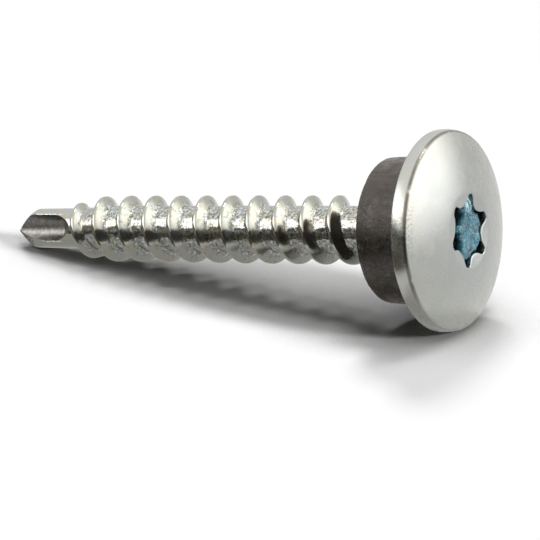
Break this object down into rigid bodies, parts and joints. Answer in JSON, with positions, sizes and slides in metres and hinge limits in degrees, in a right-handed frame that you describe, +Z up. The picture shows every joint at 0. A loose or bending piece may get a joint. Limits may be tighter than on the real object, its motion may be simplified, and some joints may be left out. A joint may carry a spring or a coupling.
{
  "type": "facade screw",
  "caption": "Self-drilling facade screw with a coarse thread, a low domed head with a lobed recess, a thick rubber sealing washer and a plug of wax in the recess.",
  "frame": {"origin": "on the floor, below the middle of the lying screw's length and width", "axes": "+X along the floor from the drill point to the head, +Z up, +Y to the left when looking from the point to the head; the screw lies on its drill point and the edge of its head, so its own axis rises toward +X by the angle that gives"},
  "size_m": [0.043, 0.0154, 0.0152],
  "materials": {
    "zinc_plated_steel": "bright zinc plating with a faint grain from forming",
    "black_rubber": "matt black with fine light speckle",
    "blue_wax": "wet-looking, uneven, half clear"
  },
  "bodies": {
    "root": {"screw": "zinc_plated_steel", "sealing_washer": "black_rubber", "recess_wax": "blue_wax"}
  },
  "joints": []
}
